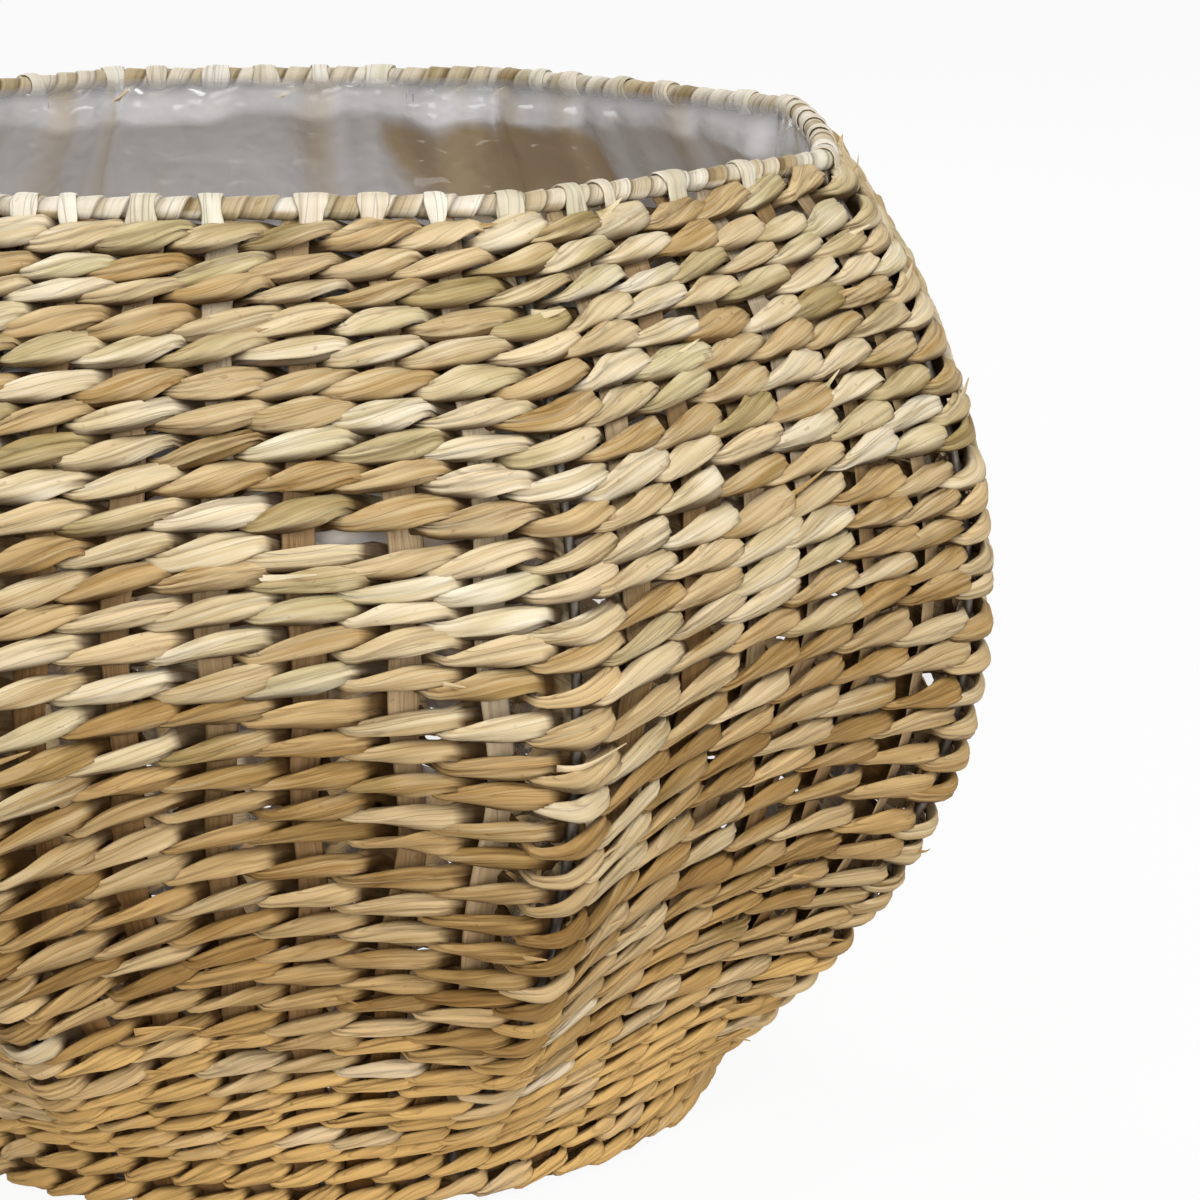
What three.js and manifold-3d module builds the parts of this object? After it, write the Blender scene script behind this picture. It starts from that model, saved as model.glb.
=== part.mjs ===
// Eight-sided seagrass basket with a plastic liner.
//
// A welded wire frame of eight ribs between a rim wire and a base wire gives the basket its
// lantern shape. Flat grass stakes run from the middle of the base up to the rim. Rows of twined
// grass lie round the outside of stakes and ribs, and a strip of grass is wrapped round the rim.
// All sizes are in millimetres. +Z is up, and the origin is the middle of the underside.
import * as THREE from 'three';
import Module from 'manifold-3d';
import { mergeVertices } from 'three/addons/utils/BufferGeometryUtils.js';

const wasm = await Module();
wasm.setup();

// The outer surface, measured over the ridges
const side_count = 8;
const belly_radius = 192;
const belly_height = 140;
const neck_radius = 117;
const neck_height = 16;
const foot_inset = 7;
const wall_top_radius = 152.5;
const wall_top_height = 251;
const belly_exponent_below = 2.15;
const belly_exponent_above = 2.3;

// How full the middle of a side is: 1 is round, 0 is flat between two ridges, below 0 is hollow.
// The sides leave the round neck, are most hollow low down, flat above the belly and fuller at
// the top. Places are shares of the height from the neck to the top of the wall.
const hollow_fullness = -0.95;
const hollow_share = 0.36;
const hollow_curve = 3.5;
const flat_share = 0.62;
const top_fullness = 0.25;
const middle_panel_share = 1 / 3;

// Grass
const wall_row_count = 34;
const foot_row_count = 2;
const row_thickness = 4;
const row_rounding = 0.45;
const row_gap_share = 0.05;
const tight_rows_shift = 6;
const loose_rows_shift = 4;
const stakes_per_side = 6;
const stake_width = 5;
const stake_thickness = 1.2;
const stake_start_radius = 31;
const base_weave_thickness = 4;
const base_weave_edge = 1.5;

// Wire frame and rim
const rib_wire_diameter = 2.6;
const rim_wire_diameter = 2.8;
const base_wire_diameter = 2.6;
const rim_inset = 6.5;
const rim_rise = 3.4;
const wrapping_thickness = 0.7;
const wrapping_slot_angle = 110;

// Liner
const liner_thickness = 0.8;
const liner_corner_inset = 2;
const pleat_depth = 6;
const pleat_share_at_rim = 0.6;

// Free space between pieces that touch
const clearance = 0.4;
const rib_clearance = 0.9;
const stake_clearance = 0.9;

// Steps along the wall of what lies behind the rows, and corners round a hoop of wire
const wall_steps = 7;
const wire_corners = 6;

const up = new THREE.Vector3(0, 0, 1);
const half_side = Math.PI / side_count;
const stations = [-1, -middle_panel_share, middle_panel_share];
const pleat_middle = (1 + middle_panel_share) / 2;
const liner_stations = [-1, -pleat_middle, -middle_panel_share, middle_panel_share, pleat_middle];
const stake_depth = row_thickness + stake_clearance;
const rib_depth = row_thickness + rib_clearance + rib_wire_diameter / 2;
const liner_depth = rib_depth + rib_wire_diameter / 2 + clearance;
const wall_shares = Array.from({ length: wall_steps + 1 }, (_, i) => i / wall_steps);

// Radius of the outer surface over a ridge
function ridgeRadius(height) {
  const below = height < belly_height;
  const end_radius = below ? neck_radius : wall_top_radius;
  const end_height = below ? neck_height : wall_top_height;
  const exponent = below ? belly_exponent_below : belly_exponent_above;
  const share = Math.abs((height - belly_height) / (end_height - belly_height));
  return belly_radius - (belly_radius - end_radius) * share ** exponent;
}

function fullness(height) {
  const share = (height - neck_height) / (wall_top_height - neck_height);
  if (share < hollow_share) {
    return THREE.MathUtils.lerp(hollow_fullness, 1, (1 - share / hollow_share) ** hollow_curve);
  }
  const to_flat = THREE.MathUtils.smoothstep(share, hollow_share, flat_share);
  const to_top = THREE.MathUtils.smoothstep(share, flat_share, 1);
  return hollow_fullness * (1 - to_flat) + top_fullness * to_top;
}

// Distance of the middle of a side from the axis, for a ridge of the given radius
function panelRadius(ridge_radius, side_fullness_here) {
  return ridge_radius * (Math.cos(half_side) + (1 - Math.cos(half_side)) * side_fullness_here);
}

// A wall profile that is walked by a share of its own length, at a depth below its surface
function wallProfile(radiusAt) {
  const count = 400;
  const heights = Array.from({ length: count + 1 }, (_, i) =>
    THREE.MathUtils.lerp(neck_height, wall_top_height, i / count));
  const points = heights.map((height) => new THREE.Vector2(radiusAt(height), height));
  const lengths = [0];
  for (let i = 1; i <= count; i += 1) {
    lengths.push(lengths[i - 1] + points[i].distanceTo(points[i - 1]));
  }
  return (share, depth, shift = 0) => {
    const along = share * lengths[count] + shift;
    const i = Math.min(count, Math.max(1, lengths.findIndex((length) => length >= along)));
    const step = points[i].clone().sub(points[i - 1]);
    const local = (along - lengths[i - 1]) / step.length();
    const point = points[i - 1].clone().addScaledVector(step, local);
    step.normalize();
    return point.add(new THREE.Vector2(-step.y, step.x).multiplyScalar(depth));
  };
}

const ridgeProfile = wallProfile(ridgeRadius);
const panelProfile = wallProfile((height) => panelRadius(ridgeRadius(height), fullness(height)));

// A place across the front side: t is -1 and 1 at its ridges, and the middle panel is flat.
// ridge and panel are the radius and height there, as a Vector2.
function across(ridge, panel, t) {
  const weight = Math.min(1, (1 - Math.abs(t)) / (1 - middle_panel_share));
  const chord = ridge.x * Math.cos(half_side);
  const distance = THREE.MathUtils.lerp(chord, panel.x, weight);
  const height = THREE.MathUtils.lerp(ridge.y, panel.y, weight);
  return new THREE.Vector3(ridge.x * Math.sin(half_side) * t, -distance, height);
}

// A pair of profile places, over the ridge and in the middle of a side
function onWall(share, depth, shift = 0) {
  return { ridge: ridgeProfile(share, depth, shift), panel: panelProfile(share, depth, shift) };
}

function onCircle(radius, height) {
  return { ridge: new THREE.Vector2(radius, height), panel: new THREE.Vector2(radius, height) };
}

function shifted(place, outward, upward) {
  const shift = new THREE.Vector2(outward, upward);
  return { ridge: place.ridge.clone().add(shift), panel: place.panel.clone().add(shift) };
}

function axisDistance(a, b) {
  return Math.hypot(a.x + b.x, a.y + b.y) / 2;
}

// A closed body through rings of as many points each. It is a hoop, or it has two flat ends.
// Four points that don't lie in one plane are split by the diagonal that dips towards the axis
// where dips_in is set, so that a wide surface stays clear of what lies outside it.
function loft(rings, is_hoop, dips_in = false) {
  const sides = rings[0].length;
  const points = rings.flat();
  const index = [];
  const last = is_hoop ? rings.length : rings.length - 1;
  for (let i = 0; i < last; i += 1) {
    const here = i * sides;
    const next = ((i + 1) % rings.length) * sides;
    for (let j = 0; j < sides; j += 1) {
      const k = (j + 1) % sides;
      const [a, b, c, d] = [here + j, here + k, next + k, next + j];
      if (dips_in && axisDistance(points[b], points[d]) < axisDistance(points[a], points[c])) {
        index.push(a, b, d, b, c, d);
      } else {
        index.push(a, b, c, a, c, d);
      }
    }
  }
  if (!is_hoop) {
    const end = (rings.length - 1) * sides;
    for (let j = 1; j < sides - 1; j += 1) {
      index.push(0, j + 1, j, end, end + j, end + j + 1);
    }
  }
  let volume = 0;
  for (let i = 0; i < index.length; i += 3) {
    const [a, b, c] = [points[index[i]], points[index[i + 1]], points[index[i + 2]]];
    volume += a.dot(b.clone().cross(c));
  }
  const geometry = new THREE.BufferGeometry();
  const positions = new Float32Array(points.flatMap((point) => point.toArray()));
  geometry.setAttribute('position', new THREE.BufferAttribute(positions, 3));
  geometry.setIndex(volume < 0 ? index.reverse() : index);
  return geometry;
}

// One horizontal ring of points. placeAt gives the place for each station across a side.
function ringOf(sideStations, placeAt) {
  const points = [];
  for (let side = 0; side < side_count; side += 1) {
    for (const t of sideStations) {
      const { ridge, panel } = placeAt(t);
      points.push(across(ridge, panel, t).applyAxisAngle(up, 2 * side * half_side));
    }
  }
  return points;
}

function ringPoints(place) {
  return ringOf(stations, () => place);
}

// A hoop round the basket, of the section that the places outline
function hoop(section) {
  const outlines = section.map((place) => ringPoints(place));
  const rings = outlines[0].map((_, station) => outlines.map((outline) => outline[station]));
  return loft(rings, true);
}

// The places on a circle round a place, seen along a hoop
function roundSection(centre, radius, corners, from, turn) {
  return Array.from({ length: corners }, (_, i) => {
    const angle = from + (turn * i) / corners;
    return shifted(centre, radius * Math.cos(angle), radius * Math.sin(angle));
  });
}

// Moves a place towards another and stops short of it
function towards(place, target, stop) {
  const move = (a, b) => a.clone().lerp(b, 1 - stop / a.distanceTo(b));
  return { ridge: move(place.ridge, target.ridge), panel: move(place.panel, target.panel) };
}

function added(place, from, to) {
  const move = (a, b, c) => a.clone().add(c).sub(b);
  return {
    ridge: move(place.ridge, from.ridge, to.ridge),
    panel: move(place.panel, from.panel, to.panel),
  };
}

function footRadius(height) {
  return THREE.MathUtils.lerp(neck_radius - foot_inset, neck_radius, height / neck_height);
}

const basket = new THREE.Group();
basket.name = 'seagrass_basket';

function addPiece(name, geometry, material, turn = 0) {
  const mesh = new THREE.Mesh(geometry, material);
  mesh.name = name;
  mesh.rotation.z = turn;
  basket.add(mesh);
  return mesh;
}

function grass(colour) {
  return new THREE.MeshStandardMaterial({ color: colour, roughness: 0.8, metalness: 0 });
}

const wire_material = new THREE.MeshStandardMaterial({ color: 0x6f6a63, roughness: 0.45, metalness: 0.9 });
const liner_material = new THREE.MeshStandardMaterial({
  color: 0xd4d5d9,
  roughness: 0.2,
  metalness: 0,
  transparent: true,
  opacity: 0.45,
});

// Wires. The rim wire lies over the tops of the stakes, and the base wire inside their bend.
const rim_centre = shifted(onWall(1, 0), -rim_inset, rim_rise);
const base_top = base_weave_thickness + clearance;
const stake_bend_radius = footRadius(base_top) - row_thickness - clearance;
const base_wire_radius = base_wire_diameter / 2;
const rim_wire_radius = rim_wire_diameter / 2;
const base_centre = onCircle(
  stake_bend_radius - stake_thickness - clearance - base_wire_radius,
  base_top + stake_thickness + clearance + base_wire_radius,
);

function wireHoop(centre, radius) {
  return hoop(roundSection(centre, radius, wire_corners, 0, 2 * Math.PI));
}

addPiece('rim_wire', wireHoop(rim_centre, rim_wire_radius), wire_material);
addPiece('base_wire', wireHoop(base_centre, base_wire_radius), wire_material);

// A rib runs up a ridge from the base wire to the rim wire, and is welded to both
function rib() {
  const on_wall = wall_shares.map((share) => onWall(share, rib_depth));
  const start = towards(on_wall[0], base_centre, base_wire_radius + clearance);
  const end = towards(on_wall[wall_steps], rim_centre, rim_wire_radius + clearance);
  const path = [start, ...on_wall, end].map((place) => place.ridge);
  const corners = 5;
  const rings = path.map((point, i) => {
    const before = path[Math.max(0, i - 1)];
    const after = path[Math.min(path.length - 1, i + 1)];
    const ahead = after.clone().sub(before).normalize();
    return Array.from({ length: corners }, (_, j) => {
      const angle = (2 * Math.PI * j) / corners;
      const out = (rib_wire_diameter / 2) * Math.cos(angle);
      const side = (rib_wire_diameter / 2) * Math.sin(angle);
      return new THREE.Vector3(side, -(point.x + ahead.y * out), point.y - ahead.x * out);
    });
  });
  return loft(rings, false);
}

const rib_geometry = rib();
for (let i = 0; i < side_count; i += 1) {
  addPiece(`rib_wire_${i + 1}`, rib_geometry, wire_material, (2 * i + 1) * half_side);
}

// Stakes. Each side has a fan of flat strips, which overlap where they meet in the base.
function stakeStations() {
  const flat = (radius, depth) => onCircle(radius, base_top + depth);
  const layer = (share, depth) => onWall(share, stake_depth + depth);
  const outer = [flat(stake_start_radius, 0), flat(stake_bend_radius, 0)];
  const inner = [
    flat(stake_start_radius, stake_thickness),
    flat(stake_bend_radius - stake_thickness, stake_thickness),
  ];
  for (const share of wall_shares) {
    outer.push(layer(share, 0));
    inner.push(layer(share, stake_thickness));
  }
  const middle = layer(1, stake_thickness / 2);
  const tip = towards(middle, rim_centre, rim_wire_radius + clearance);
  outer.push(added(outer[outer.length - 1], middle, tip));
  inner.push(added(inner[inner.length - 1], middle, tip));
  return outer.map((place, i) => [place, inner[i]]);
}

function stake(stake_stations, t) {
  return loft(stake_stations.map(([outer, inner]) => {
    const half = stake_width / 2 / (outer.ridge.x * Math.sin(half_side));
    return [
      across(outer.ridge, outer.panel, t - half),
      across(outer.ridge, outer.panel, t + half),
      across(inner.ridge, inner.panel, t + half),
      across(inner.ridge, inner.panel, t - half),
    ];
  }), false);
}

function toSolid(geometry) {
  const merged = mergeVertices(geometry);
  return new wasm.Manifold(new wasm.Mesh({
    numProp: 3,
    vertProperties: merged.attributes.position.array,
    triVerts: new Uint32Array(merged.index.array),
  }));
}

function toGeometry(solid) {
  const mesh = solid.getMesh();
  const geometry = new THREE.BufferGeometry();
  geometry.setAttribute('position', new THREE.BufferAttribute(mesh.vertProperties, 3));
  geometry.setIndex(new THREE.BufferAttribute(mesh.triVerts, 1));
  return geometry;
}

function stakeFan() {
  const stake_stations = stakeStations();
  const pitch = 2 / (stakes_per_side + 1);
  const solids = Array.from({ length: stakes_per_side }, (_, i) =>
    toSolid(stake(stake_stations, (i + 1) * pitch - 1)));
  return toGeometry(solids.reduce((fan, solid) => fan.add(solid)));
}

const fan_geometry = stakeFan();
const stake_material = grass(0xb59f70);
for (let i = 0; i < side_count; i += 1) {
  addPiece(`stakes_${i + 1}`, fan_geometry, stake_material, 2 * i * half_side);
}

// Rows of twined grass. A row is thick at its middle and thins towards its neighbours. The rows
// are beaten down tight above the neck, and lie looser above the belly.
const row_colours = [0xcbb684, 0xbfae7c, 0xd2bb86, 0xb9ab7f, 0xc8ac75, 0xd6c493];

function rowShift(share) {
  const { smoothstep } = THREE.MathUtils;
  const tight = smoothstep(share, 0, 0.15) * (1 - smoothstep(share, 0.3, 0.5));
  const loose = smoothstep(share, 0.47, 0.6) * (1 - smoothstep(share, 0.9, 1));
  return loose_rows_shift * loose - tight_rows_shift * tight;
}

function wallRow(number) {
  const at = (place, depth) => {
    const share = (number + place) / wall_row_count;
    return onWall(share, depth, rowShift(share));
  };
  const edge = row_gap_share / 2;
  const shoulder = row_rounding / 2;
  return hoop([at(edge, row_thickness), at(shoulder, 0), at(1 - shoulder, 0), at(1 - edge, row_thickness)]);
}

function footRow(number) {
  const pitch = neck_height / foot_row_count;
  const at = (share, depth) => {
    const height = (number + share) * pitch;
    return onCircle(footRadius(height) - depth, height);
  };
  const shoulder = row_rounding / 2;
  const top = 1 - row_gap_share;
  return hoop([at(0, row_thickness), at(shoulder, 0), at(1 - shoulder, 0), at(top, row_thickness)]);
}

for (let i = 0; i < foot_row_count; i += 1) {
  addPiece(`foot_row_${i + 1}`, footRow(i), grass(row_colours[(i + 4) % row_colours.length]));
}
for (let i = 0; i < wall_row_count; i += 1) {
  const name = `wall_row_${String(i + 1).padStart(2, '0')}`;
  addPiece(name, wallRow(i), grass(row_colours[(i * 5 + 2) % row_colours.length]));
}

// The woven base, flat below, inside the foot
function baseWeave() {
  const radius = footRadius(0) - row_thickness - clearance;
  const outline = [
    onCircle(radius - base_weave_edge, 0),
    onCircle(radius, base_weave_edge),
    onCircle(radius, base_weave_thickness),
  ];
  return loft(outline.map((place) => ringPoints(place)), false);
}

addPiece('base_weave', baseWeave(), grass(0xc4a972));

// The strip that is wrapped round the rim wire, open below where the stakes come up to the wire
const wrapping_inside = rim_wire_radius + clearance;
const wrapping_outside = wrapping_inside + wrapping_thickness;

function rimWrapping() {
  const slot = THREE.MathUtils.degToRad(wrapping_slot_angle);
  const stake_top = onWall(1, stake_depth + stake_thickness / 2).ridge;
  const down = stake_top.sub(rim_centre.ridge).angle();
  const turn = ((2 * Math.PI - slot) * wire_corners) / (wire_corners - 1);
  const section = (radius) => roundSection(rim_centre, radius, wire_corners, down + slot / 2, turn);
  const outside = section(wrapping_outside);
  const inside = section(wrapping_inside);
  return hoop([...outside, ...inside.reverse()]);
}

addPiece('rim_wrapping', rimWrapping(), grass(0xd6c898));

// The liner, a thin open bag that lies inside the ribs and ends inside the rim. It is larger than
// the basket, so it stands in two soft upright pleats on each side.
function pleat(t, share) {
  if (Math.abs(t) !== pleat_middle) {
    return 0;
  }
  const { lerp, smoothstep } = THREE.MathUtils;
  const depth_share = lerp(1, pleat_share_at_rim, smoothstep(share, 0.6, 0.86));
  return pleat_depth * depth_share * smoothstep(share, 0.15, 0.4);
}

function liner() {
  const corner_radius = base_centre.ridge.x - base_wire_radius - clearance - liner_corner_inset;
  const corner_height = base_top + stake_thickness + clearance;
  const rim_end = shifted(rim_centre, -wrapping_outside - clearance, 0);
  const ring = (placeAt) => ringOf(liner_stations, placeAt);
  const wall = (share, depth) => ring((t) => onWall(share, depth + pleat(t, share)));
  const outside = [ring(() => onCircle(corner_radius, corner_height))];
  const inside = [ring(() => onCircle(corner_radius - liner_thickness, corner_height + liner_thickness))];
  for (const share of wall_shares) {
    outside.push(wall(share, liner_depth));
    inside.push(wall(share, liner_depth + liner_thickness));
  }
  outside.push(ring(() => rim_end));
  inside.push(ring(() => shifted(rim_end, -liner_thickness, 0)));
  return loft([...outside, ...inside.reverse()], false, true);
}

addPiece('plastic_liner', liner(), liner_material);

export default basket;
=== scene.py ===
import math

import bpy
import numpy as np
from mathutils import Euler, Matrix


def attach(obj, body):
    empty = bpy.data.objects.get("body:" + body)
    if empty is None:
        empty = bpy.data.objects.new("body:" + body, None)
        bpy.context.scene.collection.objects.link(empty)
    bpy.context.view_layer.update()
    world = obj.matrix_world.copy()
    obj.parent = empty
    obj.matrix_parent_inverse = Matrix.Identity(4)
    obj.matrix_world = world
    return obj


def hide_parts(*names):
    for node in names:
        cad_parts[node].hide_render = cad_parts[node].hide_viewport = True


# A lantern-shaped seagrass basket with a plastic liner, from the wire frame outwards. The shapes
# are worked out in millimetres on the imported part's own outline, and +Z is up.
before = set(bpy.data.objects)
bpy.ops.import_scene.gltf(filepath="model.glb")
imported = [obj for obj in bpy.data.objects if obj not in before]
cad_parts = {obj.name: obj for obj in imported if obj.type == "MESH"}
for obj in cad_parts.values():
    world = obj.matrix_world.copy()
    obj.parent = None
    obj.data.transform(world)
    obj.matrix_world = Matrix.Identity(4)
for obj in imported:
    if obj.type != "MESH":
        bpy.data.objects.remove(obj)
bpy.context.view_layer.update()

# The camera stands a little above the basket and looks down into it, 1.13 m from its axis, with
# one of the eight sides almost square to it.
camera = bpy.data.objects.new("camera", bpy.data.cameras.new("camera"))
bpy.context.scene.collection.objects.link(camera)
camera.data.lens = 132
camera.data.sensor_width = 36
camera.location = (0.0455, -1.1334, 0.3925)
camera.rotation_euler = Euler((math.radians(77), 0, math.radians(-1.8)))
bpy.context.scene.camera = camera

# Wire frame: eight bent ribs of plain drawn wire stand on a hoop round the base and are welded to
# a hoop round the rim. The grass is pulled tight over the ribs, so the sides between them are
# hollow low down. A side is seven stake pitches wide, with six stakes and a rib.
SIDES, PER_SIDE = 8, 7
PITCHES = SIDES * PER_SIDE
HALF_SIDE = math.pi / SIDES
WALL_ROWS, FOOT_ROWS = 34, 2

BELLY_RADIUS, BELLY_HEIGHT = 192, 140
NECK_RADIUS, NECK_HEIGHT, FOOT_INSET = 117, 16, 7
WALL_TOP_RADIUS, WALL_TOP_HEIGHT = 152.5, 251
CURVE_BELOW_BELLY, CURVE_ABOVE_BELLY = 2.15, 2.3
# the shares of the wall's height where a side is most hollow, and where it is flat again
HOLLOW_AT, FLAT_AT = 0.36, 0.62
HOLLOWNESS, TOP_FULLNESS, NECK_CURVE = 0.95, 0.25, 3.5

RIM_INSET, RIM_RISE = 6.5, 3.4
RIB_DEPTH, WIRE_RADIUS, RIM_WIRE_RADIUS = 6.2, 1.3, 1.4
BASE_WIRE_RADIUS, BASE_WIRE_HEIGHT = 104.6, 7.3


def smooth(low, high, values):
    """0 up to low, 1 from high on, and eased between them."""
    share = np.clip((values - low) / (high - low), 0, 1)
    return share * share * (3 - 2 * share)


def ridge_radius(height):
    """Distance of a ridge from the axis."""
    below = height < BELLY_HEIGHT
    end_radius = np.where(below, NECK_RADIUS, WALL_TOP_RADIUS)
    end_height = np.where(below, NECK_HEIGHT, WALL_TOP_HEIGHT)
    share = np.abs((height - BELLY_HEIGHT) / (end_height - BELLY_HEIGHT))
    curve = np.where(below, CURVE_BELOW_BELLY, CURVE_ABOVE_BELLY)
    return BELLY_RADIUS - (BELLY_RADIUS - end_radius) * share**curve


def panel_radius(height):
    """Distance of the middle of a side from the axis: round, hollow, flat and then fuller."""
    share = (height - NECK_HEIGHT) / (WALL_TOP_HEIGHT - NECK_HEIGHT)
    low = -HOLLOWNESS + (1 + HOLLOWNESS) * np.clip(1 - share / HOLLOW_AT, 0, 1) ** NECK_CURVE
    high = -HOLLOWNESS * (1 - smooth(HOLLOW_AT, FLAT_AT, share)) + TOP_FULLNESS * smooth(FLAT_AT, 1, share)
    fullness = np.where(share < HOLLOW_AT, low, high)
    return ridge_radius(height) * (math.cos(HALF_SIDE) + (1 - math.cos(HALF_SIDE)) * fullness)


class WallForm:
    """The outer face of the wall. A place on it is a number of stake pitches round from the ridge
    left of the front side, a number of rows up from the neck, and a depth below the face."""

    # points of its grid across a pitch and up a row, and how many rows it runs on above the wall
    ACROSS, UP, ABOVE = 12, 6, 1.5
    SPARE_HEIGHT, PROFILE_STEPS = 12, 840
    RIDGE_ROUNDING = 0.2

    def __init__(self):
        rows = np.arange(-FOOT_ROWS * self.UP, (WALL_ROWS + self.ABOVE) * self.UP + 1) / self.UP
        ridge, panel = self.profile(ridge_radius, rows), self.profile(panel_radius, rows)
        pitch = np.arange(PITCHES * self.ACROSS) / self.ACROSS
        side = np.floor(pitch / PER_SIDE)
        across = 2 * (pitch / PER_SIDE - side) - 1
        weight = 1 - across**2
        chord = ridge[:, :1] * math.cos(HALF_SIDE)
        x = ridge[:, :1] * math.sin(HALF_SIDE) * across
        y = -(chord + (panel[:, :1] - chord) * weight)
        z = ridge[:, 1:] + (panel[:, 1:] - ridge[:, 1:]) * weight
        foot = rows < 0
        x[foot] = ridge[foot, :1] * np.sin(HALF_SIDE * across)
        y[foot] = -ridge[foot, :1] * np.cos(HALF_SIDE * across)
        turn = 2 * HALF_SIDE * side
        points = np.stack([x * np.cos(turn) - y * np.sin(turn), x * np.sin(turn) + y * np.cos(turn), z], -1)
        self.points = self.soften(points)
        level_step = np.roll(self.points, -1, 1) - np.roll(self.points, 1, 1)
        normals = np.cross(level_step, np.gradient(self.points, axis=0))
        self.normals = normals / np.linalg.norm(normals, axis=-1, keepdims=True)

    def profile(self, radius_at, rows):
        """Radius and height by rows, spaced evenly along the profile's own length. It runs on a
        little way above the wall, where the top row is pushed up to the rim."""
        height = np.linspace(NECK_HEIGHT, WALL_TOP_HEIGHT + self.SPARE_HEIGHT, self.PROFILE_STEPS)
        radius = radius_at(height)
        length = np.concatenate([[0], np.cumsum(np.hypot(np.diff(height), np.diff(radius)))])
        at_row = np.maximum(rows / WALL_ROWS, 0) * np.interp(WALL_TOP_HEIGHT, height, length)
        foot_height = NECK_HEIGHT * (1 + rows / FOOT_ROWS)
        foot_radius = NECK_RADIUS - FOOT_INSET * (1 - foot_height / NECK_HEIGHT)
        return np.stack([
            np.where(rows < 0, foot_radius, np.interp(at_row, length, radius)),
            np.where(rows < 0, foot_height, np.interp(at_row, length, height)),
        ], -1)

    def soften(self, points):
        """Rounds the ridges, over which the strands can't turn sharply."""
        waves = np.fft.fftfreq(points.shape[1]) * 2 * math.pi
        keep = np.exp(-0.5 * (waves * self.RIDGE_ROUNDING * self.ACROSS) ** 2)
        return np.real(np.fft.ifft(np.fft.fft(points, axis=1) * keep[None, :, None], axis=1))

    def read(self, grid, pitch, row):
        u = np.mod(pitch, PITCHES) * self.ACROSS
        v = np.clip((np.asarray(row, float) + FOOT_ROWS) * self.UP, 0, grid.shape[0] - 1.001)
        i, j = np.floor(v).astype(int), np.floor(u).astype(int)
        a, b = (v - i)[..., None], (u - j)[..., None]
        j, k = j % grid.shape[1], (j + 1) % grid.shape[1]
        below = grid[i, j] * (1 - b) + grid[i, k] * b
        above = grid[i + 1, j] * (1 - b) + grid[i + 1, k] * b
        return below * (1 - a) + above * a

    def normal(self, pitch, row):
        normal = self.read(self.normals, pitch, row)
        return normal / np.linalg.norm(normal, axis=-1, keepdims=True)

    def place(self, pitch, row, depth=0.0):
        depth = np.asarray(depth, float)[..., None]
        return self.read(self.points, pitch, row) - self.normal(pitch, row) * depth


wall = WallForm()


def unit(vectors):
    return vectors / np.linalg.norm(vectors, axis=-1, keepdims=True)


def level(vectors):
    """The directions of vectors with their rise left out."""
    return unit(vectors * [1, 1, 0])


def flat_outward(pitch):
    """The level direction away from the basket at the top of the wall."""
    return level(wall.normal(pitch, WALL_ROWS))


def round_direction(pitch):
    """The level direction from the axis to a stake."""
    return level(wall.place(pitch, 0))


def rim_line(pitch):
    """The middle of the rim wire."""
    return wall.place(pitch, WALL_ROWS) - flat_outward(pitch) * RIM_INSET + [0, 0, RIM_RISE]


def along(line, is_hoop=False):
    """Unit steps along a line of points."""
    if is_hoop:
        return unit(np.roll(line, -1, 0) - np.roll(line, 1, 0))
    return unit(np.gradient(line, axis=0))


def corner_angles(corners):
    return 2 * math.pi * np.arange(corners) / corners


def rings_round(centre, wide, thick, half_width, half_thickness, corners, shape=1.0):
    """Rings of points round a line, wide one way and thick the other. shape is the share of the
    full section that is left at each corner."""
    angle = corner_angles(corners)
    across = np.cos(angle) * half_width[:, None] * shape
    out = np.sin(angle) * half_thickness[:, None] * shape
    return centre[:, None] + wide[:, None] * across[..., None] + thick[:, None] * out[..., None]


def skin(rings, is_hoop=False):
    """The faces over rings of points: squares between them, and two flat ends unless it's a hoop."""
    count, corners = rings.shape[:2]
    here = np.arange(count if is_hoop else count - 1)[:, None] * corners
    ahead = (here + corners) % (count * corners)
    j = np.arange(corners)[None]
    k = (j + 1) % corners
    faces = np.stack([here + j, here + k, ahead + k, ahead + j], -1).reshape(-1, 4)
    ends = [] if is_hoop else [np.arange(corners)[::-1], np.arange(corners) + (count - 1) * corners]
    return rings.reshape(-1, 3), faces, ends


def make_piece(name, bodies, finish, node, values=None):
    """One piece from closed bodies of points, squares and ends. values are numbers kept for each
    point, which the finish reads."""
    points = np.concatenate([body[0] for body in bodies]) / 1000
    starts = np.cumsum([0] + [len(body[0]) for body in bodies])
    squares = np.concatenate([body[1] + start for body, start in zip(bodies, starts)])
    ends = [end + start for body, start in zip(bodies, starts) for end in body[2]]
    corners = np.concatenate([squares.ravel()] + ends)
    sizes = np.concatenate([np.full(len(squares), 4), [len(end) for end in ends]]).astype(int)
    mesh = bpy.data.meshes.new(name)
    mesh.vertices.add(len(points))
    mesh.vertices.foreach_set("co", points.astype(np.float32).ravel())
    mesh.loops.add(len(corners))
    mesh.loops.foreach_set("vertex_index", corners.astype(np.int32))
    mesh.polygons.add(len(sizes))
    mesh.polygons.foreach_set("loop_start", (np.cumsum(sizes) - sizes).astype(np.int32))
    mesh.update(calc_edges=True)
    mesh.polygons.foreach_set("use_smooth", np.arange(len(sizes)) < len(squares))
    for label, numbers in (values or {}).items():
        layer = mesh.attributes.new(label, "FLOAT_VECTOR", "POINT")
        layer.data.foreach_set("vector", np.concatenate(numbers).astype(np.float32).ravel())
    mesh.materials.append(finish)
    piece = bpy.data.objects.new(name, mesh)
    bpy.context.scene.collection.objects.link(piece)
    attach(piece, "root")
    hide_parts(node)


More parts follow.
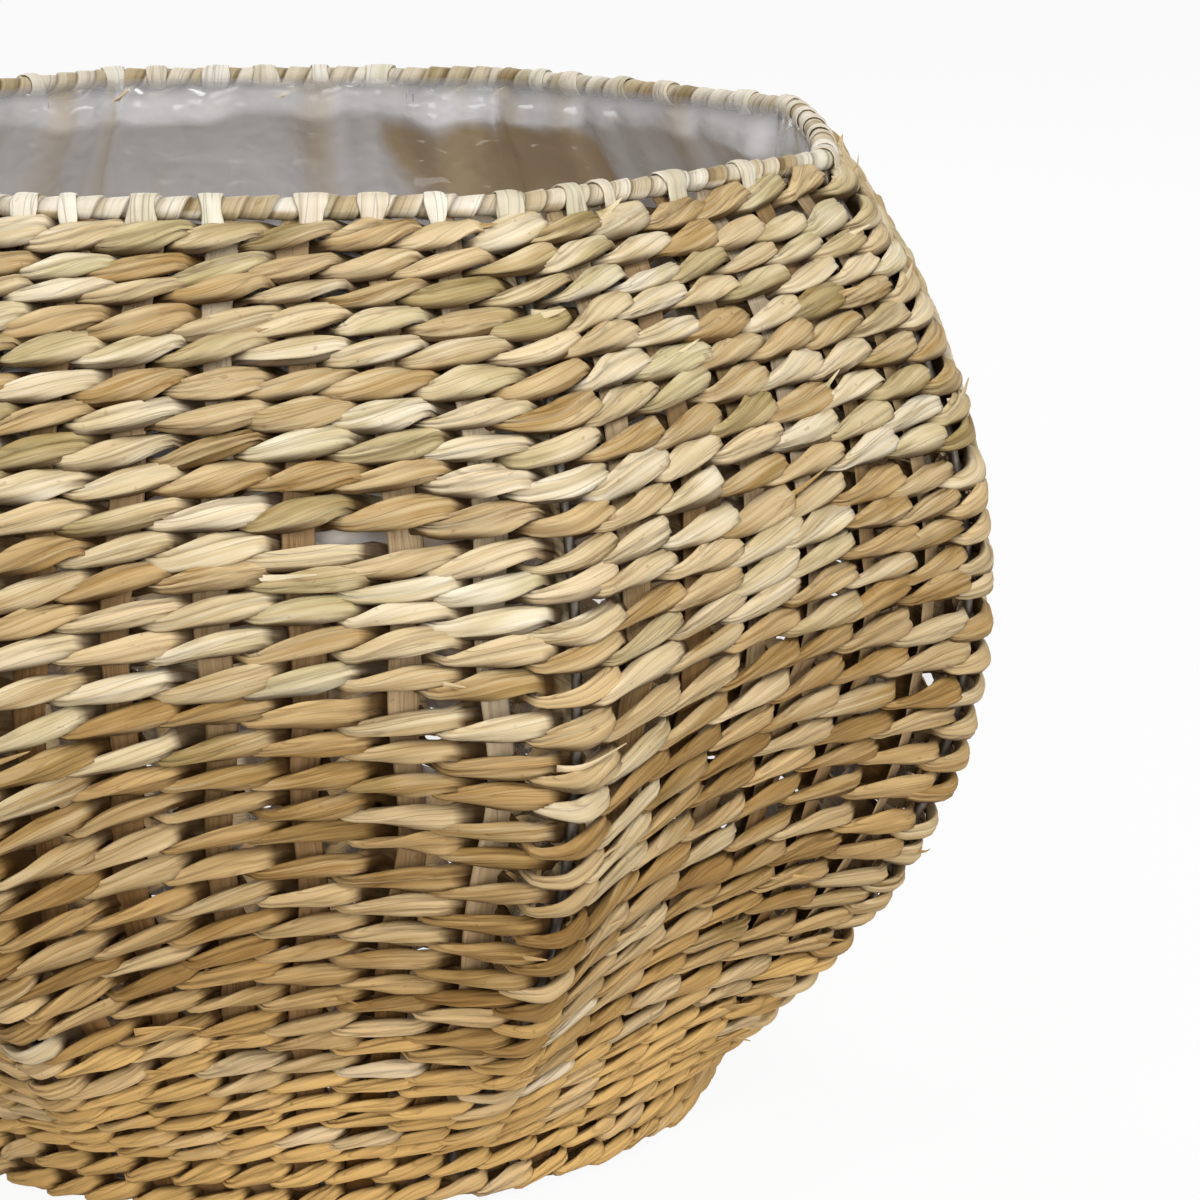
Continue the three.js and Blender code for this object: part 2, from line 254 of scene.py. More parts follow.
class Socket:
    """An output of a shader node, so that shader maths reads as plain sums."""

    def __init__(self, finish, socket):
        self.finish, self.socket = finish, socket

    def maths(self, operation, a, b):
        return self.finish.node("ShaderNodeMath", {"operation": operation}, {0: a, 1: b})

    def __add__(self, other):
        return self.maths("ADD", self, other)

    def __sub__(self, other):
        return self.maths("SUBTRACT", self, other)

    def __rsub__(self, other):
        return self.maths("SUBTRACT", other, self)

    def __mul__(self, other):
        return self.maths("MULTIPLY", self, other)

    __radd__, __rmul__ = __add__, __mul__


class Finish:
    """A material. node() adds one node by its type, its settings and its sockets' values or links."""

    def __init__(self, name, kept_in=bpy.data.materials):
        self.material = kept_in.new(name)
        self.material.use_nodes = True
        self.tree = self.material.node_tree
        self.tree.nodes.clear()

    def node(self, kind, settings, sockets, result=0):
        node = self.tree.nodes.new(kind)
        for name, value in settings.items():
            if name == "stops":
                ramp = node.color_ramp
                while len(ramp.elements) < len(value):
                    ramp.elements.new(0.5)
                for element, (position, shade) in zip(ramp.elements, value):
                    element.position, element.color = position, shade
            else:
                setattr(node, name, value)
        for name, value in sockets.items():
            socket = self.find(node.inputs, name)
            if isinstance(value, Socket):
                self.tree.links.new(value.socket, socket)
            else:
                socket.default_value = value
        return Socket(self, self.find(node.outputs, result)) if node.outputs else None

    def find(self, sockets, name):
        if isinstance(name, int):
            return sockets[name]
        return next(s for s in sockets if name in (s.identifier, s.name))

    def kept(self, label):
        """The numbers that make_piece kept for each point under a label."""
        return self.node("ShaderNodeAttribute", {"attribute_name": label}, {}, "Vector")

    def axis(self, vector, name):
        return self.node("ShaderNodeSeparateXYZ", {}, {"Vector": vector}, name)

    def blend(self, share, a, b):
        sockets = {"Factor_Float": share, "A_Color": a, "B_Color": b}
        return self.node("ShaderNodeMix", {"data_type": "RGBA"}, sockets, "Result_Color")

    def ramp(self, share, *stops):
        return self.node("ShaderNodeValToRGB", {"stops": stops}, {"Fac": share}, "Color")

    def mask(self, share, *stops):
        """A ramp of plain numbers from 0 to 1."""
        return self.ramp(share, *[(position, (number, number, number, 1)) for position, number in stops])

    def noise(self, vector, scale, detail=2.0, roughness=0.5):
        sockets = {"Vector": vector, "Scale": scale, "Detail": detail, "Roughness": roughness}
        return self.node("ShaderNodeTexNoise", {}, sockets, "Fac")

    def bump(self, height, strength, distance):
        sockets = {"Strength": strength, "Distance": distance, "Height": height}
        return self.node("ShaderNodeBump", {}, sockets, "Normal")

    def close(self, **sockets):
        """Ends the material in one Principled shader."""
        named = {name.replace("_", " "): value for name, value in sockets.items()}
        shader = self.node("ShaderNodeBsdfPrincipled", {}, named)
        self.node("ShaderNodeOutputMaterial", {}, {"Surface": shader})
        return self.material


def colour(red, green, blue, alpha=1.0):
    """A colour as it looks on a screen, from 0 to 255."""
    screen = np.array([red, green, blue]) / 255
    plain = np.where(screen <= 0.04045, screen / 12.92, ((screen + 0.055) / 1.055) ** 2.4)
    return (*[float(part) for part in plain], alpha)


def drawn_wire():
    wire = Finish("drawn_wire")
    place = wire.node("ShaderNodeTexCoord", {}, {}, "Object")
    stain = wire.noise(place, 160.0, 3.0, 0.6)
    tint = wire.ramp(
        stain, (0.35, colour(92, 84, 74)), (0.62, colour(128, 120, 110)), (0.75, colour(98, 68, 44))
    )
    bump = wire.bump(stain, 0.2, 0.0002)
    return wire.close(Base_Color=tint, Metallic=0.85, Roughness=0.35 + stain * 0.3, Normal=bump)


def wire(line, is_hoop, radius):
    """Drawn wire along a line of points. A rib is bent in one upright plane."""
    step = along(line, is_hoop)
    side = np.cross(step if is_hoop else line.mean(0) - line[:1], [0, 0, 1.0])
    side = np.broadcast_to(unit(side), line.shape)
    size = np.full(len(line), radius)
    return skin(rings_round(line, side, np.cross(side, step), size, size, 12), is_hoop)


wire_finish = drawn_wire()
round_pitch = np.arange(PITCHES * 6) / 6
rim_hoop = wire(rim_line(round_pitch), True, RIM_WIRE_RADIUS)
make_piece("rim_wire_hoop", [rim_hoop], wire_finish, "rim_wire")
base_line = round_direction(round_pitch) * BASE_WIRE_RADIUS + [0, 0, BASE_WIRE_HEIGHT]
make_piece("base_wire_hoop", [wire(base_line, True, WIRE_RADIUS)], wire_finish, "base_wire")
for number in range(1, SIDES + 1):
    # rib 1 stands right of the front side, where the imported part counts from
    pitch = np.array([PER_SIDE * float(number)])
    foot = round_direction(pitch) * (BASE_WIRE_RADIUS + 1) + [0, 0, BASE_WIRE_HEIGHT + 1]
    upright = wall.place(pitch, np.linspace(0, WALL_ROWS, 70), RIB_DEPTH)
    line = np.concatenate([foot, upright, rim_line(pitch) - [0, 0, 1.5]])
    rib = wire(line, False, WIRE_RADIUS)
    make_piece(f"rib_{number}", [rib], wire_finish, f"rib_wire_{number}")

# Stakes: long flat seagrass leaves, folded once. They start in a fan in the middle of the base,
# lie flat under the liner, bend up at the foot and run inside the rows to the rim wire.
STAKE_WIDTH, STAKE_THICKNESS, STAKE_DEPTH = 7.4, 0.8, 4.3
FAN_START, FAN_END, FAN_STEPS, FAN_HEIGHT = 31, 104, 16, 4.75


def dry_grass(name, dark, middle, light, pale, green, orange):
    """Dry leaf: fibres run along it, it turns green or orange in long patches, and it has brown
    spots. place holds the point along and across the leaf and the leaf's number, in millimetres.
    tone holds how pale and how warm the leaf is, and how far it is darkened towards brown: painted
    shade in creases, between rows, under leaves and at the steps of the wound strip, and an even
    darker tint on the stakes."""
    leaf = Finish(name)
    place, tone = leaf.kept("place"), leaf.kept("tone")
    paleness, warmth, darkening = [leaf.axis(tone, axis) for axis in "XYZ"]

    def stretched(x, y, z=1.0):
        sockets = {0: place, 1: (x, y, z)}
        return leaf.node("ShaderNodeVectorMath", {"operation": "MULTIPLY"}, sockets, "Vector")

    fibre = leaf.noise(stretched(0.05, 2.6), 1.0, 3.0, 0.6)
    vein = leaf.noise(stretched(0.025, 0.7, 1.3), 1.0, 1.0)
    wrinkle = leaf.noise(stretched(0.02, 0.42, 3.1), 1.0, 1.0)
    patch = leaf.noise(stretched(0.05, 0.14, 1.7), 1.0, 2.0)
    spot = leaf.noise(stretched(0.35, 0.5, 2.3), 1.0, 2.0)
    light_share = paleness + (fibre - 0.5) * 0.4 + (vein - 0.5) * 0.4 + (patch - 0.5) * 0.5
    tint = leaf.ramp(light_share, (0.0, dark), (0.35, middle), (0.68, light), (1.0, pale))
    greenish = leaf.mask(warmth + (patch - 0.5) * 0.8, (0.18, 1), (0.42, 0))
    green_leaf = leaf.ramp(light_share, (0.1, colour(104, 94, 50)), (0.9, green))
    tint = leaf.blend(greenish * 0.5, tint, green_leaf)
    golden = leaf.mask((warmth + (patch - 0.5) * 0.7) * 0.5, (0.3, 0), (0.5, 0.45), (0.8, 1))
    golden_leaf = leaf.ramp(light_share, (0.1, colour(108, 70, 20)), (0.9, orange))
    tint = leaf.blend(golden, tint, golden_leaf)
    tint = leaf.blend(leaf.mask(spot, (0.68, 0), (0.76, 1)) * 0.35, tint, colour(112, 72, 36))
    # painted shade: creases, deep crevices, leaf undersides and wrap steps are blended towards dark brown
    tint = leaf.blend(darkening, tint, colour(56, 31, 4))
    split = leaf.mask(wrinkle, (0.47, 0), (0.492, 1), (0.5, 1), (0.524, 0))
    tint = leaf.blend(split * 0.3, tint, colour(84, 54, 18))
    bump = leaf.bump(fibre * 0.4 + vein * 0.6 - split * 0.5, 0.5, 0.0005)
    return leaf.close(Base_Color=tint, Roughness=0.5 + fibre * 0.25, Specular_IOR_Level=0.12, Normal=bump)


def leaf_values(length, across, number, pale, warm, darkening):
    """The numbers that the grass finish reads, for rings of points."""

    def filled(values):
        values = np.asarray(values, float)
        return np.broadcast_to(values[:, None] if values.ndim == 1 else values, across.shape)

    place = np.stack([filled(length), across, filled(number)], -1)
    tone = np.stack([filled(pale), filled(warm), filled(darkening)], -1)
    return place.reshape(-1, 3), tone.reshape(-1, 3)


def grass_piece(name, leaves, finish, node):
    """One piece from leaves, each a skin with the numbers that the grass finish reads."""
    bodies, numbers = zip(*leaves)
    places, tones = zip(*numbers)
    make_piece(name, bodies, finish, node, {"place": places, "tone": tones})


def length_along(line):
    """How far along a line each of its points is."""
    return np.concatenate([[0], np.cumsum(np.linalg.norm(np.diff(line, axis=0), axis=1))])


def stake(pitch, seed):
    """One stake, from the middle of the base to the rim wire."""
    rng = np.random.default_rng(seed)
    wander = rng.uniform(-0.05, 0.05)
    rows = np.linspace(-1.25, WALL_ROWS, 120)
    sway = wander + 0.05 * np.sin(rows * 0.7 + rng.uniform(0, 6))
    depth = STAKE_DEPTH + 0.25 * np.sin(rows * 1.9 + rng.uniform(0, 6))
    on_wall = wall.place(pitch + sway, rows, depth)
    spoke = round_direction(np.array([pitch]))
    radii = np.linspace(FAN_START, FAN_END, FAN_STEPS)[:, None]
    # some of them lie over others in the middle of the fan
    height = FAN_HEIGHT + 0.9 * (radii < 60) * rng.uniform(0, 1)
    on_base = np.concatenate([(spoke * radii)[:, :2], height], 1)
    end = rim_line(np.array([pitch])) - [0, 0, 1.9]
    line = np.concatenate([on_base, on_wall, end])
    step = along(line)
    thick = unit(np.cross(step, np.cross([0, 0, 1.0], spoke)))
    wide = np.cross(thick, step)
    length = length_along(line)
    half_width = STAKE_WIDTH / 2 * (1 + 0.12 * np.sin(length * 0.06 + rng.uniform(0, 6)))
    half_width[:FAN_STEPS] *= np.linspace(0.45, 0.9, FAN_STEPS)
    half_width[-1] *= 0.6
    angle = corner_angles(12)
    fold = np.exp(-(((angle - math.pi / 2 - 0.2) / 0.25) ** 2))
    half_thickness = np.full(len(line), STAKE_THICKNESS / 2)
    rings = rings_round(line, wide, thick, half_width, half_thickness, len(angle), 1 - 0.35 * fold)
    high = smooth(60, 330, length)
    pale = 0.25 + 0.4 * high + 0.2 * np.sin(length * 0.02 + rng.uniform(0, 6)) + rng.uniform(-0.15, 0.15)
    warm = rng.uniform(0.3, 0.95) + 0.6 * (1 - high)
    across = np.cos(angle) * half_width[:, None]
    return skin(rings), leaf_values(length, across, seed % 97, pale, warm, 0.35)


stake_finish = dry_grass(
    "stake_grass", colour(120, 86, 48), colour(176, 144, 98), colour(218, 190, 148), colour(240, 222, 190),
    colour(190, 180, 130), colour(214, 164, 108),
)
for side in range(SIDES):
    fan = [stake(float(PER_SIDE * side + i), 500 + side * 8 + i) for i in range(1, PER_SIDE)]
    grass_piece(f"stake_fan_{side + 1}", fan, stake_finish, f"stakes_{side + 1}")

# Twined rows: each is a pair of twisted seagrass strands, half turned round each other between
# every two stakes. One strand passes in front of a stake while the other passes behind it, so the
# outside shows one slanting leaf for each stake. Creases run along the leaves where they were rolled.
STEPS, CORNERS, FLATS, CREASES = 10, 26, 5, 5
FRONT_DEPTH, BACK_DEPTH, ROUND_RIB_DEPTH = 1.5, 6.6, 2.0
LEAF_HALF_WIDTH, UPPER_EXTRA_WIDTH = 3.1, 0.95
TIP_HALF_WIDTH, BACK_HALF_WIDTH = 0.9, 4.1
TIP_HALF_THICKNESS, BODY_EXTRA_THICKNESS, BACK_FLATTENING = 1.15, 0.85, 0.2
# how far a leaf reaches from its middle to its tail and to its blunt end, in stake pitches
TAIL_REACH, BLUNT_REACH = (0.76, 0.94), (0.6, 0.76)
CREASE_DEPTH, CREASE_WIDTH = 0.42, 0.15
TURN_RISE, ROW_HEIGHT, PITCH_LENGTH = 2.4, 7.9, 20.0
# the strands of a row start and end at the back
ROW_START = PITCHES / 2 + PER_SIDE / 2


def from_ridge(pitch):
    """How many stake pitches a place is from the nearest ridge."""
    return np.mod(pitch + PER_SIDE / 2, PER_SIDE) - PER_SIDE / 2


def row_shift(place):
    """How far the rows lie above their even places, in rows: beaten down tight above the neck and
    looser above the belly. The top row is pushed up to the rim."""
    share = np.asarray(place, float) / WALL_ROWS
    tight = smooth(0, 0.15, share) * (1 - smooth(0.3, 0.5, share))
    loose = smooth(0.47, 0.6, share) * (1 - smooth(0.9, 1, share))
    return (4 * loose - 6 * tight) / ROW_HEIGHT + 0.4 * smooth(0.95, 0.99, share)


def row_wander(row):
    """How far a row lies above or below its own place from one spot to the next, in rows."""
    rng = np.random.default_rng(900 + row)
    pitch = ROW_START + np.arange(PITCHES * STEPS) / STEPS
    rise = np.zeros(len(pitch))
    for wave in (1, 2, 3, 5, 8, 13):
        rise += rng.normal(0, 0.055) * np.cos(2 * math.pi * wave * pitch / PITCHES + rng.uniform(0, 6))
    return rise * (1 if row >= 0 else 0.4)


def strand(row, first, rise, rng):
    """One strand of a row. It stands in front of the stakes first, first + 2, first + 4 and on."""
    pitch = ROW_START + np.arange(PITCHES * STEPS) / STEPS
    # how far the strand is past the middle of its nearest leaf in front, from -1 to 1 stake
    past = np.mod(pitch - first + 1, 2) - 1
    away = np.abs(past)

    def eased(numbers, count, low, high):
        """A number for each place counted, eased over a part of the way to the next one."""
        before = np.floor(count).astype(int)
        share = smooth(low, high, count - before)
        return numbers[before % len(numbers)] * (1 - share) + numbers[(before + 1) % len(numbers)] * share

    def vary(amount):
        """A number for each stake, eased from one to the next."""
        return eased(rng.normal(0, amount, PITCHES), pitch, 0, 1)

    def by_leaf(low, high):
        """A number for each leaf in front, changed where the strand runs behind a stake."""
        return eased(rng.uniform(low, high, PITCHES // 2), (pitch - first) / 2, 0.42, 0.58)

    spacing = 1 + row_shift(row + 1) - row_shift(row)
    rib = np.exp(-((from_ridge(pitch) / 0.4) ** 2))
    behind = np.where(past < 0, smooth(0.66, 0.92, away), smooth(0.42, 0.76, away))
    dive = np.where(past < 0, smooth(0.56, 0.92, away), smooth(0.4, 0.84, away))
    depth = FRONT_DEPTH + (BACK_DEPTH - FRONT_DEPTH) * dive + vary(0.2) + ROUND_RIB_DEPTH * rib * behind
    turn = np.interp(past, [-1, -0.75, -0.55, 0.5, 0.72, 1], [0, -0.85, -1, 1, 0.85, 0])
    lift = TURN_RISE * turn * by_leaf(0.7, 1.25) + vary(0.35)
    # a leaf starts in a thin tail and ends bluntly, under the tail of the next one
    middle = past - by_leaf(-0.02, 0.16)
    tail = 1 - (np.abs(middle) / by_leaf(*TAIL_REACH)) ** 1.7
    blunt = 1 - (np.abs(middle) / by_leaf(*BLUNT_REACH)) ** 2.4
    body = np.where(middle < 0, tail, blunt).clip(0, 1)
    # the upper rows were twined from thicker strands
    full_width = (LEAF_HALF_WIDTH + UPPER_EXTRA_WIDTH * smooth(13, 25, row)) * by_leaf(0.8, 1.12)
    half_width = TIP_HALF_WIDTH + (full_width - TIP_HALF_WIDTH) * body
    half_width += (BACK_HALF_WIDTH - TIP_HALF_WIDTH) * behind
    half_width *= np.clip(spacing, 0.74, 1.12)
    half_thickness = TIP_HALF_THICKNESS + BODY_EXTRA_THICKNESS * body * by_leaf(0.3, 1.2)
    half_thickness -= BACK_FLATTENING * behind
    line = wall.place(pitch + vary(0.06), row + rise + lift / ROW_HEIGHT, depth)
    outward = wall.normal(pitch, row + rise)
    step = along(line, True)
    level_wide = unit(np.cross(outward, step))
    level_thick = np.cross(step, level_wide)
    roll = (by_leaf(-0.75, -0.2) * np.sin(math.pi * past) + vary(0.15))[:, None]
    wide = level_wide * np.cos(roll) + level_thick * np.sin(roll)
    thick = level_thick * np.cos(roll) - level_wide * np.sin(roll)
    # the leaf was folded before it was twisted, so its section has flats
    angle = corner_angles(CORNERS)
    flat = 2 * math.pi / FLATS
    folded = np.mod(angle - (by_leaf(0, flat) + 0.35 * past)[:, None], flat) - flat / 2
    shape = (math.cos(flat / 2) / np.cos(folded)) ** 0.9
    darkening = np.zeros_like(shape)
    # the creases are sharp in the thin tail and fade where the leaf is full
    sharp = np.clip(1.2 - body * by_leaf(0.5, 1.1), 0, 1)
    for _ in range(CREASES):
        where = (math.pi / 2 + by_leaf(-1.25, 1.25) + by_leaf(0.1, 0.9) * past)[:, None]
        strength = (sharp * by_leaf(-0.2, 1.1).clip(0, 1))[:, None]
        groove = np.exp(-(((angle - where) / CREASE_WIDTH) ** 2)) * strength
        shape -= CREASE_DEPTH * groove
        darkening = np.maximum(darkening, groove)
    rings = rings_round(line, wide, thick, half_width, half_thickness, CORNERS, shape)
    across = np.cos(angle) * half_width[:, None]
    # the lower rows were twined from more golden grass, and the rows under the belly are a little
    # duller. The foot rows are painted paler: painted light where the belly shades them
    low = 1 - smooth(4, 28, row)
    foot = 1 - smooth(-2, 11, row)
    dull = smooth(4, 10, row) * (1 - smooth(14, 22, row))
    pale = by_leaf(0.44, 0.8) + 0.36 * foot - 0.16 * dull
    warm = by_leaf(0.15, 0.85) + by_leaf(0.08, 1.1) * low + 0.85 * foot
    # painted shade: the grass is painted browner where it lies deep between its neighbours,
    # under each leaf and in its creases
    sunk = np.sum((line[:, None] - rings) * outward[:, None], -1) + depth[:, None]
    underside_shade = 2.4 * np.clip(-np.cos(angle), 0, 1)
    crevice_shade = smooth(1.2, 3.8, sunk + underside_shade) * (1 - smooth(6.2, 7.4, sunk))
    brown = np.maximum(darkening * 0.8, crevice_shade * 0.9)
    return skin(rings, True), leaf_values(pitch * PITCH_LENGTH, across, rng.uniform(0, 90), pale, warm, brown)


def loose_end(row, rng):
    """The thin end of a spliced leaf, which has worked loose and stands off the row."""
    share = np.linspace(0, 1, 9)
    pitch = rng.uniform(0, PITCHES) + rng.uniform(0.35, 0.95) * share
    at_row = row + 0.6 + row_shift(row + 0.5) + rng.uniform(-0.1, 0.7) * share**1.5
    line = wall.place(pitch, at_row, 1.2 - rng.uniform(2.0, 4.0) * share**2)
    step = along(line)
    wide = unit(np.cross(wall.normal(pitch, at_row), step))
    half_width = 0.12 + rng.uniform(0.6, 1.6) * (1 - share) ** 0.7
    rings = rings_round(line, wide, np.cross(step, wide), half_width, np.full(len(line), 0.16), 8)
    across = np.cos(corner_angles(8)) * half_width[:, None]
    pale = rng.uniform(0.4, 0.8)
    warm = rng.uniform(0.2, 0.8) + 1.0 - smooth(4, 26, row)
    return skin(rings), leaf_values(share * 18, across, rng.uniform(0, 90), pale, warm, 0.0)


weft_finish = dry_grass(
    "twined_grass", colour(90, 60, 16), colour(168, 135, 82), colour(213, 194, 156), colour(236, 228, 208),
    colour(194, 186, 134), colour(224, 183, 116),
)
for row in range(-FOOT_ROWS, WALL_ROWS):
    rng = np.random.default_rng(100 + row)
    rise = 0.5 + row_shift(row + 0.5) + row_wander(row)
    leaves = [strand(row, first, rise, rng) for first in (0, 1)]
    if row > 0:
        leaves += [loose_end(row, rng) for _ in range(rng.integers(1, 7))]
    place = f"foot_row_{row + FOOT_ROWS + 1}" if row < 0 else f"row_{row + 1:02d}"
    node = place if row < 0 else f"wall_{place}"
    grass_piece(f"twined_{place}", leaves, weft_finish, node)

# Woven base: it is woven flat before the wall. The stakes cross in the middle, and rings of thin
# twined strands hold them. Its underside stands on the floor.
BASE_RINGS, INNER_RING, RING_SPACING = 12, 24, 7.15
CROSSINGS, CROSSING_REACH, CROSSING_HALF_WIDTH = 12, 34, 3.2
RING_STEPS = 8


def base_ring(ring, first, rng):
    """One strand of a twined ring in the base."""
    stakes = PITCHES if ring > 5 else PITCHES // 2
    around = np.arange(stakes * RING_STEPS) / RING_STEPS
    turn = math.pi * (around - first)
    front = np.cos(turn)
    angle = 2 * math.pi * around / stakes
    outward = np.stack([np.sin(angle), -np.cos(angle), np.zeros(len(angle))], -1)
    line = outward * (INNER_RING + RING_SPACING * ring + 1.5 * np.sin(turn))[:, None]
    line[:, 2] = 2.0 - 0.75 * front
    step = along(line, True)
    thick = unit(np.cross(outward, step))
    half_width = 2.0 + 1.3 * np.clip(front, 0, 1)
    rings = rings_round(line, np.cross(step, thick), thick, half_width, np.full(len(line), 1.15), 10)
    # the underside is pressed flat on the floor
    rings[..., 2] = np.maximum(rings[..., 2], 0.02)
    across = np.cos(corner_angles(10)) * half_width[:, None]
    pale = 0.4 + 0.2 * np.repeat(rng.uniform(-1, 1, stakes), RING_STEPS)
    number, warm = rng.uniform(0, 90), rng.uniform(0.5, 1)
    return skin(rings, True), leaf_values(around * 9.0, across, number, pale, warm, 0.0)


def crossing_stake(turn, seed):
    """A flat stake across the middle of the base."""
    rng = np.random.default_rng(seed)
    reach = np.linspace(-CROSSING_REACH, CROSSING_REACH, 30)
    aside = rng.uniform(-2, 2)
    line = np.stack([
        reach * math.cos(turn) - aside * math.sin(turn),
        reach * math.sin(turn) + aside * math.cos(turn),
        2.6 + 0.5 * np.sin(reach * 0.5 + seed),
    ], -1)
    step = along(line)
    wide = unit(np.cross([0, 0, 1.0], step))
    half_width = np.full(len(line), CROSSING_HALF_WIDTH)
    rings = rings_round(line, wide, np.cross(step, wide), half_width, np.full(len(line), 0.45), 10)
    across = np.cos(corner_angles(10)) * half_width[:, None]
    return skin(rings), leaf_values(reach, across, seed, 0.5, rng.uniform(0.4, 1), 0.0)


rng = np.random.default_rng(77)
leaves = [base_ring(ring, first, rng) for ring in range(BASE_RINGS) for first in (0, 1)]
leaves += [crossing_stake(math.pi * i / CROSSINGS + 0.02, 40 + i) for i in range(CROSSINGS)]
grass_piece("woven_base", leaves, weft_finish, "base_weave")

# Rim wrapping: a flat strip of pale grass is wound round the rim wire, each turn half over the last
# one. Wider straps tie it down: they go over the rim at most stakes and into the top row.
WRAPS, WRAP_STEPS, WRAP_CORNERS, WRAP_LENGTH = 138, 10, 18, 14.0
STRAP_RADIUS, STRAP_HALF_THICKNESS = 3.2, 0.42


def wound_strip():
    """The strip as one skin whose rings follow its edge, so that each turn steps up to the next."""
    rng = np.random.default_rng(31)
    count = WRAPS * WRAP_STEPS
    wrap = np.arange(count) // WRAP_STEPS
    phase = np.arange(count) % WRAP_STEPS / WRAP_STEPS
    slide = np.arange(WRAP_CORNERS) / WRAP_CORNERS
    angle = corner_angles(WRAP_CORNERS)
    spot = (np.arange(count)[:, None] / WRAP_STEPS + slide) / WRAPS * PITCHES
    size = (2.35 + 0.55 * phase**0.8 + rng.normal(0, 0.12, WRAPS)[wrap])[:, None]
    points = rim_line(spot) + flat_outward(spot) * (np.cos(angle) * size)[..., None]
    points[..., 2] += np.sin(angle) * size
    index = np.arange(count * WRAP_CORNERS).reshape(count, WRAP_CORNERS)
    nearby = np.concatenate([index[:, 1:], np.roll(index[:, :1], -WRAP_STEPS, 0)], 1)
    corners = [index, np.roll(index, -1, 0), np.roll(nearby, -1, 0), nearby]
    faces = np.stack(corners, -1).reshape(-1, 4)
    # painted light and shade: each turn is painted paler towards its raised edge
    pale = 0.45 + 0.3 * rng.uniform(-1, 1, WRAPS)[wrap] + 0.15 * phase
    warm = rng.uniform(0.2, 0.9, WRAPS)[wrap]
    length = (slide + wrap[:, None]) * WRAP_LENGTH
    across = np.broadcast_to((phase * 6.5)[:, None], index.shape)
    # painted shade at the foot of each step between turns
    edge = 0.6 * np.exp(-phase / 0.12)
    return (points.reshape(-1, 3), faces, []), leaf_values(length, across, 5.0, pale, warm, edge)


def rim_strap(pitch, seed):
    """A strap from the top row up over the rim and round under the wire."""
    rng = np.random.default_rng(seed)
    here = np.array([pitch])
    centre, outward = rim_line(here), flat_outward(here)
    up = np.array([0, 0, 1.0])
    tucked = wall.place(here, WALL_ROWS - 0.1, 3.6)
    face = wall.place(here, WALL_ROWS + 0.25, 2.0)
    turn = np.linspace(math.radians(-10), math.radians(250), 15)[:, None]
    over = centre + STRAP_RADIUS * (outward * np.cos(turn) + up * np.sin(turn))
    knots = np.concatenate([tucked, face, over])
    at_knot = length_along(knots)
    length = np.linspace(0, at_knot[-1], 34)
    line = np.stack([np.interp(length, at_knot, knots[:, i]) for i in range(3)], -1)
    for _ in range(2):
        line[1:-1] = (line[:-2] + 2 * line[1:-1] + line[2:]) / 4
    aside = np.cross(up, outward)
    line += aside * (rng.uniform(-0.9, 0.9) * (length / length[-1] - 0.4) * 3)[:, None]
    step = along(line)
    thick = unit(np.cross(step, aside))
    wide = np.cross(thick, step)
    half_width = rng.uniform(1.8, 4.0) * (1 + 0.15 * np.sin(length * 0.5 + seed))
    half_width[:14] *= np.linspace(rng.uniform(0.5, 1), 1, 14)
    angle = corner_angles(14)
    fold = np.exp(-(((angle - math.pi / 2 - rng.uniform(-0.5, 0.5)) / 0.22) ** 2))
    half_thickness = np.full(len(line), STRAP_HALF_THICKNESS)
    rings = rings_round(line, wide, -thick, half_width, half_thickness, len(angle), 1 - 0.25 * fold)
    across = np.cos(angle) * half_width[:, None]
    pale, warm = rng.uniform(0.6, 0.95), rng.uniform(0.2, 0.8)
    return skin(rings), leaf_values(length, across, seed % 83, pale, warm, 0.0)


rim_finish = dry_grass(
    "rim_grass", colour(134, 110, 72), colour(188, 170, 134), colour(219, 208, 188), colour(232, 228, 216),
    colour(208, 204, 174), colour(214, 190, 148),
)
grass_piece("rim_wound_strip", [wound_strip()], rim_finish, "rim_wrapping")
rng = np.random.default_rng(12)
straps = [rim_strap(i + rng.uniform(-0.25, 0.25), 300 + i) for i in range(PITCHES) if rng.random() < 0.9]
grass_piece("rim_straps", straps, rim_finish, "rim_wrapping")

# Plastic liner: a bag of thin clear film lies loose inside. It is larger than the basket, so it
# stands in soft upright folds, and its edge is tucked in under the rim.
ROUND, UPWARD, FLOOR_RINGS = 480, 84, 14
FILM_DEPTH, FILM_THICKNESS, PLEAT_DEPTH, RIB_ALLOWANCE = 9.3, 0.4, 6, 2.4
FLOOR_HEIGHT, FLOOR_FILM_THICKNESS = 6.05, 0.3
# where the film clings to the grass: the middle and half width in stake pitches, and its lean
CLINGING = ((27.4, 2.3, 0.03), (45, 1.6, -0.02), (12, 2.6, 0.02), (53.5, 1.2, 0.0), (19.5, 1.0, -0.03))


def film():
    """Clear film, milky where it is creased, and painted tan where it is least milky, standing in for the lit
    grass seen through it.
    """
    liner = Finish("clear_film")
    place = liner.node("ShaderNodeTexCoord", {}, {}, "Object")
    cloud = liner.kept("cloud")
    milkiness, cover = liner.axis(cloud, "X"), liner.axis(cloud, "Y")
    crinkle = liner.noise(place, 26.0, 4.0, 0.6)
    shade = milkiness + (crinkle - 0.5) * 0.8
    # painted tan where it is least milky, standing in for the lit grass seen through the film
    milky = liner.ramp(shade, (0.2, colour(236, 214, 180)), (0.65, colour(254, 253, 255)))
    return liner.close(
        Base_Color=milky, Roughness=0.18 + crinkle * 0.15, Coat_Weight=0.5, Coat_Roughness=0.08,
        Alpha=cover, Normal=liner.bump(crinkle, 0.5, 0.004),
    )


